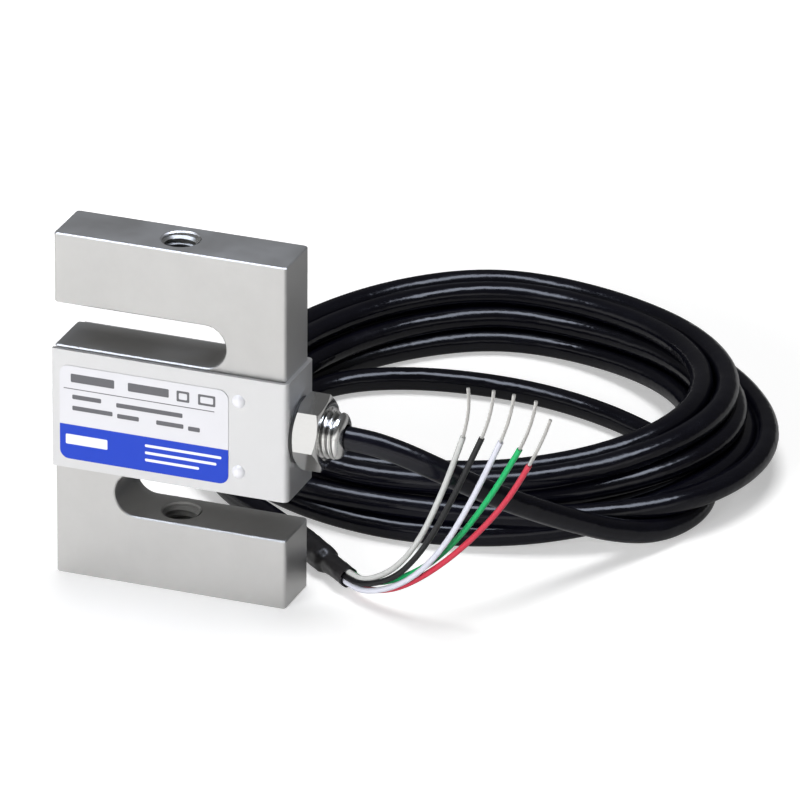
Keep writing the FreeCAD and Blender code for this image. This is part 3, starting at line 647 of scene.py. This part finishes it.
# %% [markdown]
# Each load hole has an M8 thread. A thread is one small section, wound round the hole while it
# moves along it: bmesh's spin does both, with an angle and a step along the axis. The ridge
# reaches a little into the wall of the hole, so no gap shows.

# %% Threads in the load holes
def helical_ridge(bm, start, length, pitch, root, crest, steps=48):
    """A ridge with sloping flanks that winds about the X axis."""
    # The section, with its places along the axis in pitches
    outline = [(-0.48, root), (-0.07, crest), (0.07, crest), (0.48, root)]
    corners = [bm.verts.new(((start + along * pitch) * MM, 0, radius * MM))
               for along, radius in outline]
    section = bm.faces.new(corners)
    bmesh.ops.spin(bm, geom=corners + list(section.edges) + [section], cent=(0, 0, 0),
                   axis=(1, 0, 0), dvec=(pitch / steps * MM, 0, 0),
                   angle=math.tau * length / pitch, steps=round(steps * length / pitch))


ARM_HEIGHT, THREAD_INSET = 15.4, 0.45    # the thread stays this far inside both mouths
UPPER_ARM_Z = block_high.z / MM - ARM_HEIGHT
M8_PITCH, M8_ROOT, M8_CREST = 1.25, 4.03, 3.38
# The thread is darker than the block's plate; part of that is painted shade for the inside of the
# hole.
thread_steel = surface("threaded steel", (0.24, 0.24, 0.235), 0.3, tone=0.2, scale=300.0,
                       Metallic=0.5)
for name, foot in (("load_thread_lower", 0.0), ("load_thread_upper", UPPER_ARM_Z)):
    bm = bmesh.new()
    helical_ridge(bm, THREAD_INSET, ARM_HEIGHT - 2 * THREAD_INSET, M8_PITCH, M8_ROOT, M8_CREST)
    place(bm, (0, 0, foot), axis=(0, 0, 1))
    piece_from(bm, name, thread_steel)

# %% [markdown]
# ## Cover and rivets
#
# The cover is bent from one pale plated sheet. Where the rivets pull it in, the sheet is a
# little dished. The dish is far shallower than the sheet is thick, so it is made as relief: a
# smooth hollow whose depth comes from the distance to each rivet.

# %% Finish of the cover
RIVET_HEAD_RADIUS, DISH_BOTTOM, DISH_RADIUS = 1.45, 1.2, 5.0
rivets_low, rivets_high = (Vector(c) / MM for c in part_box("cover_rivets"))
RIVET_X = (rivets_low.x + rivets_high.x) / 2
RIVET_Z = (rivets_low.z + RIVET_HEAD_RADIUS, rivets_high.z - RIVET_HEAD_RADIUS)
print("rivets at x", round(RIVET_X, 2), "z", [round(z, 2) for z in RIVET_Z])
sheet_metal = surface("pale plated sheet", (0.61, 0.61, 0.615), 0.33, tone=0.07, spread=0.12,
                      scale=60.0, relief=0.03, Metallic=0.6)
tree = sheet_metal.node_tree
shader = tree.nodes["Principled BSDF"]
fine = shader.inputs["Normal"].links[0].from_socket
position = object_position(tree)
flat = add(tree, "ShaderNodeVectorMath", {"operation": "MULTIPLY"}, _0=position, _1=(1, 0, 1))
hollow = None
for z in RIVET_Z:
    away = add(tree, "ShaderNodeVectorMath", {"operation": "DISTANCE"}, _0=flat.outputs[0],
               _1=(RIVET_X * MM, 0, z * MM)).outputs["Value"]
    rise = remap(tree, away, DISH_BOTTOM * MM, DISH_RADIUS * MM, 0.0, 1.0, "SMOOTHERSTEP")
    hollow = rise if hollow is None else calc(tree, "MINIMUM", hollow, rise)
dish = add(tree, "ShaderNodeBump", Strength=0.4, Distance=0.0004, Height=hollow, Normal=fine)
tree.links.new(dish.outputs["Normal"], shader.inputs["Normal"])
dress("cover", sheet_metal)

rivet_metal = surface("rivet metal", (0.72, 0.72, 0.75), 0.45, tone=0.05, scale=200.0,
                      Metallic=0.14)
dress("cover_rivets", rivet_metal)

# %% [markdown]
# ## Data plate
#
# The plate is a printed foil with round corners: white above, a blue field below, a thin rule
# and rows of short bars where the lines of print are. The bars say nothing. Each bar is a
# rounded box, drawn by its distance: zero inside, growing outside. One node group does that,
# and a material that uses it many times stays sharp at any size.

# %% Bar of print
bar_group, bar_in, bar_out = new_group(
    "print bar",
    [("Position", "Vector", (0, 0, 0)), ("Centre", "Vector", (0, 0, 0)),
     ("Half Size", "Vector", (0.001, 0, 0.001)), ("Corner", "Float", 0.0002)],
    [("Mask", "Float")])
offset = add(bar_group, "ShaderNodeVectorMath", {"operation": "SUBTRACT"},
             _0=bar_in.outputs["Position"], _1=bar_in.outputs["Centre"])
folded = add(bar_group, "ShaderNodeVectorMath", {"operation": "ABSOLUTE"}, _0=offset.outputs[0])
beyond = add(bar_group, "ShaderNodeVectorMath", {"operation": "SUBTRACT"},
             _0=folded.outputs[0], _1=bar_in.outputs["Half Size"])
parts = add(bar_group, "ShaderNodeSeparateXYZ", Vector=beyond.outputs[0])
sides = [calc(bar_group, "MAXIMUM", calc(bar_group, "ADD", parts.outputs[label],
                                         bar_in.outputs["Corner"]), 0.0) for label in "XZ"]
squares = [calc(bar_group, "POWER", side, 2.0) for side in sides]
reach = calc(bar_group, "SQRT", calc(bar_group, "ADD", *squares))
outside = calc(bar_group, "SUBTRACT", reach, bar_in.outputs["Corner"])
INK_EDGE = 0.00004
mask = remap(bar_group, outside, -INK_EDGE, INK_EDGE, 1.0, 0.0, "LINEAR")
bar_group.links.new(mask, bar_out.inputs["Mask"])
print("group", bar_group.name)

# %% Finish of the data plate
plate_print, tree, shader = finish("printed foil", {"Metallic": 0.0, "Specular IOR Level": 0.35})
position = object_position(tree)


def bars(rows, corner=0.25):
    """The mask of several bars of (left, right, middle height, height) in millimetres."""
    mask = None
    for x0, x1, z, tall in rows:
        bar = use_group(tree, bar_group, Position=position,
                        Centre=((x0 + x1) / 2 * MM, 0, z * MM),
                        Half_Size=((x1 - x0) / 2 * MM, 0, tall / 2 * MM),
                        Corner=min(corner, tall / 2) * MM).outputs["Mask"]
        mask = bar if mask is None else calc(tree, "MAXIMUM", mask, bar)
    return mask


ground = use_group(tree, cloudy, Position=position, Color=(0.62, 0.62, 0.65, 1), Scale=90.0,
                   Tone=0.03, Roughness=0.36, Spread=0.1)
BAND_TOP, BAND_TALL = 34.6, 10.0
plate_low, plate_high = (Vector(c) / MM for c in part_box("data_plate"))
band = bars([(plate_low.x - 1, plate_high.x + 1, BAND_TOP - BAND_TALL / 2, BAND_TALL)])
dark = bars([(-22.8, 10.4, 42.65, 0.2),
             (-21.2, -11.6, 45.1, 1.9), (-8.6, 0.4, 45.1, 1.9),
             (2.1, 4.9, 44.9, 2.4), (6.8, 10.6, 44.9, 2.4),
             (-20.9, -14.5, 40.9, 1.0), (-11.2, 3.4, 40.6, 1.0),
             (-20.9, -12.0, 38.4, 1.0), (-11.0, -6.2, 38.2, 1.0),
             (-2.4, 3.6, 38.2, 1.0), (4.6, 7.2, 38.0, 1.0)])
holes = bars([(2.6, 4.4, 44.9, 1.4), (7.3, 10.1, 44.9, 1.4)])
light = bars([(-22.4, -13.2, 31.3, 2.2), (-4.9, 11.9, 32.6, 0.6), (-4.9, 10.8, 31.0, 0.6),
              (-4.9, 7.0, 29.4, 0.6)])
BLUE, GREY_INK, WHITE_INK = (0.010, 0.045, 0.44, 1), (0.11, 0.11, 0.12, 1), (0.74, 0.77, 0.86, 1)
colour = mixed(tree, band, ground.outputs["Color"], BLUE)
colour = mixed(tree, calc(tree, "SUBTRACT", dark, holes), colour, GREY_INK)
colour = mixed(tree, light, colour, WHITE_INK)
tree.links.new(colour, shader.inputs["Base Color"])
tree.links.new(ground.outputs["Roughness"], shader.inputs["Roughness"])
roughen(tree, shader, position, scale=2200.0, relief=0.03)
dress("data_plate", plate_print)

# %% [markdown]
# ## Gland
#
# The gland's stem is nickel-plated brass with an M10 thread and a rounded nose. It is turned:
# an outline is spun round its axis, and the thread is wound on as a second ridge.

# %% Gland stem
stem_low, stem_high = (Vector(c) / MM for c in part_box("gland_stem"))
MIDDLE_Z = round((stem_low.z + stem_high.z) / 2, 3)
STEM_START, NUT_START, NUT_END, NOSE_START, STEM_END = 18.0, 26.9, 32.2, 34.9, 36.3
STEM_ROOT, STEM_CREST, STEM_PITCH, STEM_BORE = 4.35, 5.0, 1.2, 2.6
STEM_THREAD_START, STEM_THREAD_LENGTH = 31.3, 3.3
SEAL_START, SEAL_RADIUS, SEAL_END = 29.0, 3.7, 34.6
bright_nickel = surface("bright nickel plate", (0.86, 0.855, 0.84), 0.16, tone=0.06, spread=0.14,
                        scale=160.0, grain_scale=900.0, relief=0.05, Metallic=1.0)
stem_nickel = surface("bright nickel thread", (0.86, 0.855, 0.84), 0.2, tone=0.06, spread=0.14,
                      scale=160.0, grain_scale=900.0, relief=0.05, Metallic=1.0)
bm = bmesh.new()
lathe(bm, [(STEM_START, 4.3), (18.7, STEM_CREST), (31.2, STEM_CREST), (31.6, STEM_ROOT),
           (NOSE_START - 0.25, STEM_ROOT), (NOSE_START, 4.85), (35.25, 4.72), (35.6, 4.42),
           (35.9, 3.95), (36.15, 3.35), (STEM_END, 2.75), (36.1, STEM_BORE),
           (SEAL_END + 0.2, STEM_BORE), (SEAL_END, SEAL_RADIUS), (SEAL_START, SEAL_RADIUS),
           (SEAL_START, STEM_BORE), (STEM_START, STEM_BORE)])
helical_ridge(bm, STEM_THREAD_START, STEM_THREAD_LENGTH, STEM_PITCH, STEM_ROOT - 0.05,
              STEM_CREST, steps=64)
place(bm, (0, 0, MIDDLE_Z))
piece_from(bm, "gland_stem_threaded", stem_nickel, ("gland_stem",))

# %% [markdown]
# The roots of the thread are darkened with painted shade, as if the grooves lay in shadow, so they
# look darker than the crests. The distance from the stem's axis tells root from crest.

# %% Painted shade in the roots of the stem's thread
def paint_root_shade(material, axis_z, root, crest, last, dark=0.4):
    """Darken a finish with painted shade below the crests of a thread about X, as far along as
    last.
    """
    tree = material.node_tree
    shader = tree.nodes["Principled BSDF"]
    unshaded = shader.inputs["Base Color"].links[0].from_socket
    parts = add(tree, "ShaderNodeSeparateXYZ", Vector=object_position(tree))
    rise = calc(tree, "SUBTRACT", parts.outputs["Z"], axis_z * MM)
    radius = calc(tree, "SQRT", calc(tree, "ADD", calc(tree, "POWER", parts.outputs["Y"], 2.0),
                                     calc(tree, "POWER", rise, 2.0)))
    # painted shade: darker towards the root of the thread
    depth = remap(tree, radius, root * MM, crest * MM, dark, 1.0)
    past = calc(tree, "GREATER_THAN", parts.outputs["X"], last * MM)
    kept = calc(tree, "MAXIMUM", depth, past)
    shaded = mixed(tree, 1.0, unshaded, kept, blend_type="MULTIPLY")
    tree.links.new(shaded, shader.inputs["Base Color"])
    print("darkened roots in", material.name)


paint_root_shade(stem_nickel, MIDDLE_Z, STEM_ROOT + 0.1, STEM_CREST - 0.1, NOSE_START - 0.1)

# %% [markdown]
# The nut is a turned blank with a chamfer at both ends. Six flats are then cut off it, as a
# milling cutter would do, and each cut is filled. The nut stands at a small turn, as it came to
# rest when it was tightened.

# %% Gland nut
NUT_ACROSS_FLATS, NUT_TURN, NUT_BORE, FLATS = 14.0, 20.0, 4.95, 6
flat = NUT_ACROSS_FLATS / 2
corner = flat / math.cos(math.pi / FLATS)
rim = flat - 0.1                         # where the chamfer meets the nut's end
chamfer = (corner - rim) * math.tan(math.radians(28))
bm = bmesh.new()
lathe(bm, [(NUT_START, NUT_BORE), (NUT_START, rim), (NUT_START + chamfer, corner + 0.05),
           (NUT_END - chamfer, corner + 0.05), (NUT_END, rim), (NUT_END, 5.5),
           (NUT_END - 0.5, NUT_BORE)], steps=120)
for i in range(FLATS):
    turn = math.radians(360 / FLATS * i + NUT_TURN)
    normal = Vector((0, -math.cos(turn), math.sin(turn)))
    cut = bmesh.ops.bisect_plane(bm, geom=list(bm.verts) + list(bm.edges) + list(bm.faces),
                                 plane_co=normal * flat * MM, plane_no=normal,
                                 clear_outer=True)
    bmesh.ops.holes_fill(bm, edges=[e for e in cut["geom_cut"]
                                    if isinstance(e, bmesh.types.BMEdge)], sides=0)
place(bm, (0, 0, MIDDLE_Z))
piece_from(bm, "gland_nut_milled", bright_nickel, ("gland_nut",))

# %% [markdown]
# ## Washer, seal, gasket and sealant
#
# The washer under the nut, the ring that grips the cable and the gasket under the cover are the
# same dull black rubber. A bead of grey silicone closes the open end of the cover.

# %% Rubber and silicone
rubber = surface("black rubber", (0.018, 0.018, 0.018), 0.62, tone=0.3, scale=200.0,
                 relief=0.15)
for node in ("gland_washer", "cover_gasket"):
    dress(node, rubber)
bm = bmesh.new()
SEAL_BORE = CABLE_DIAMETER / 2 + 0.02
lathe(bm, [(SEAL_START, SEAL_RADIUS), (SEAL_END, SEAL_RADIUS), (SEAL_END, SEAL_BORE),
           (SEAL_START, SEAL_BORE)])
place(bm, (0, 0, MIDDLE_Z))
piece_from(bm, "seal_ring", rubber, ("gland_seal",))
dress("edge_sealant", surface("grey silicone", (0.45, 0.45, 0.46), 0.38, tone=0.12, scale=150.0,
                              grain_scale=500.0, relief=0.2))

# %% [markdown]
# ## Shrunk sleeve
#
# A sleeve of black heat-shrink covers the end of the jacket and the start of the cores. It is
# spun from an outline that steps down where the jacket ends. Then each outer point moves in or
# out by a smooth noise that is long along the sleeve and short round it, which gives creases.

# %% Sleeve
SLEEVE_START, SLEEVE_STEPS = -14.0, 56
WIDE, NARROW = 2.86, 2.16                # radius over the jacket, and over the cores
WIDE_BORE, NARROW_BORE, MOUTH = CABLE_DIAMETER / 2, 1.85, 2.05
STEP_START, STEP_END = 0.1, 2.0          # the outside steps down between these
# How often each noise changes round the sleeve and along it, and how deep it reaches
CREASE_ROUND, CREASE_ALONG, CREASE_DEPTH = 2.2, 0.16, 0.16
DENT_ROUND, DENT_ALONG, DENT_DEPTH = 1.3, 0.55, 0.10
ELSEWHERE, HIGHEST = 7, 0.14             # another part of the noise, and the most it adds
bm = bmesh.new()
outer = []
for i in range(SLEEVE_STEPS + 1):
    along = SLEEVE_START + (SLEEVE_REACH - SLEEVE_START) * i / SLEEVE_STEPS
    fall = min(max((along - STEP_START) / (STEP_END - STEP_START), 0), 1)
    outer.append((along, WIDE - (WIDE - NARROW) * fall * fall * (3 - 2 * fall)))
lathe(bm, outer + [(SLEEVE_REACH + 0.1, MOUTH), (SLEEVE_REACH, NARROW_BORE),
                   (STEP_END + 0.2, NARROW_BORE), (STEP_START + 0.2, WIDE_BORE),
                   (SLEEVE_START, WIDE_BORE)], steps=72)
for v in bm.verts:
    radius = math.hypot(v.co.y, v.co.z) / MM
    if radius > MOUTH + 0.03 and abs(radius - WIDE_BORE) > 0.005:
        along = v.co.x / MM
        around = Vector((0, v.co.y, v.co.z)) / (radius * MM)
        crease = noise.noise(around * CREASE_ROUND + Vector((along * CREASE_ALONG, 0, 0)))
        dent = noise.noise(around * DENT_ROUND + Vector((along * DENT_ALONG + ELSEWHERE, 0, 0)))
        factor = 1 + min(CREASE_DEPTH * crease + DENT_DEPTH * dent, HIGHEST) / radius
        v.co.y *= factor
        v.co.z *= factor
place(bm, JACKET_END, axis=SLEEVE_AXIS)
shrink = surface("heat-shrink sleeve", (0.012, 0.011, 0.012), 0.34, tone=0.4, spread=0.2,
                 scale=300.0, grain_scale=700.0, relief=0.25, depth=0.0002)
piece_from(bm, "shrink_sleeve_creased", shrink, ("shrink_sleeve",))

# %% [markdown]
# The sleeve is part of the cable, so the cable's length is printed now that both are there.

print("declared", cable.name, "with", round(cable_length, 3), "m")

# %% [markdown]
# ## Under the cover
#
# These parts are seen only when the cover is off. Strain gauges are amber foil with a metal
# grid, the board is green, the resistors are small bodies with bands, and clear soft silicone
# fills the pockets.

# %% Gauges, board, resistors and silicone
STRIPE_SHARE, QUARTER_TURN = 0.55, math.pi / 2


def striped(name, base, stripe, direction, scale, roughness=0.4):
    """A finish with even stripes across a direction."""
    material, tree, shader = finish(name, {})
    position = object_position(tree)
    turned = add(tree, "ShaderNodeMapping", Vector=position, Rotation=direction)
    wave = add(tree, "ShaderNodeTexWave", {"wave_type": "BANDS", "bands_direction": "X"},
               Vector=turned.outputs[0], Scale=scale)
    sharp = calc(tree, "GREATER_THAN", wave.outputs["Fac"], STRIPE_SHARE)
    cloud_over(tree, shader, position, mixed(tree, sharp, (*base, 1), (*stripe, 1)), Scale=300.0,
               Tone=0.1, Roughness=roughness, Spread=0.1)
    return material


for side in ("front", "back"):
    for hand, angle in (("left", QUARTER_TURN / 2), ("right", -QUARTER_TURN / 2)):
        dress(f"gauge_{side}_{hand}", striped(
            f"gauge foil {side} {hand}", (0.55, 0.26, 0.05), (0.45, 0.42, 0.38),
            (0, angle, 0), 480.0))
dress("terminal_board", striped("board", (0.02, 0.16, 0.06), (0.55, 0.36, 0.12),
                                (0, QUARTER_TURN, 0), 160.0))
for node in ("zero_resistor", "span_resistor"):
    dress(node, striped(node + " body", (0.50, 0.38, 0.22), (0.25, 0.06, 0.04), (0, 0, 0), 260.0))
for node in ("potting_front", "potting_back"):
    dress(node, surface(node + " silicone", (0.62, 0.63, 0.62), 0.3, tone=0.08, scale=120.0,
                        relief=0.05, Subsurface_Weight=0.1))

# %% [markdown]
# The ends of the five cores lie side by side in the front pocket, and their colours follow each
# other from below. They are one node, so the colour is picked by height.

# %% Cores inside the block
INNER_PITCH = 2.0
inner_colours = [(0.62, 0.035, 0.055), (0.01, 0.42, 0.12), (0.74, 0.75, 0.80),
                 (0.02, 0.019, 0.02), (0.5, 0.51, 0.5)]
COUNT = len(inner_colours)
inner, tree, shader = finish("inner cores", {})
position = object_position(tree)
level = add(tree, "ShaderNodeSeparateXYZ", Vector=position).outputs["Z"]
lowest = (MIDDLE_Z - COUNT / 2 * INNER_PITCH) * MM
step = calc(tree, "DIVIDE", calc(tree, "SUBTRACT", level, lowest), COUNT * INNER_PITCH * MM)
ramp = add(tree, "ShaderNodeValToRGB", _0=step)
ramp.color_ramp.interpolation = "CONSTANT"
for i, colour in enumerate(inner_colours):
    stop = ramp.color_ramp.elements[i] if i < 2 else ramp.color_ramp.elements.new(i / COUNT)
    stop.position = i / COUNT
    stop.color = (*colour, 1)
cloud_over(tree, shader, position, ramp.outputs["Color"], Scale=300.0, Tone=0.1, Roughness=0.3,
           Spread=0.1)
dress("inner_cores", inner)

# %% List the parts left without a finish
for name, obj in nodes.items():
    if not obj.data.materials or obj.data.materials[0] is None:
        print("plain", name)
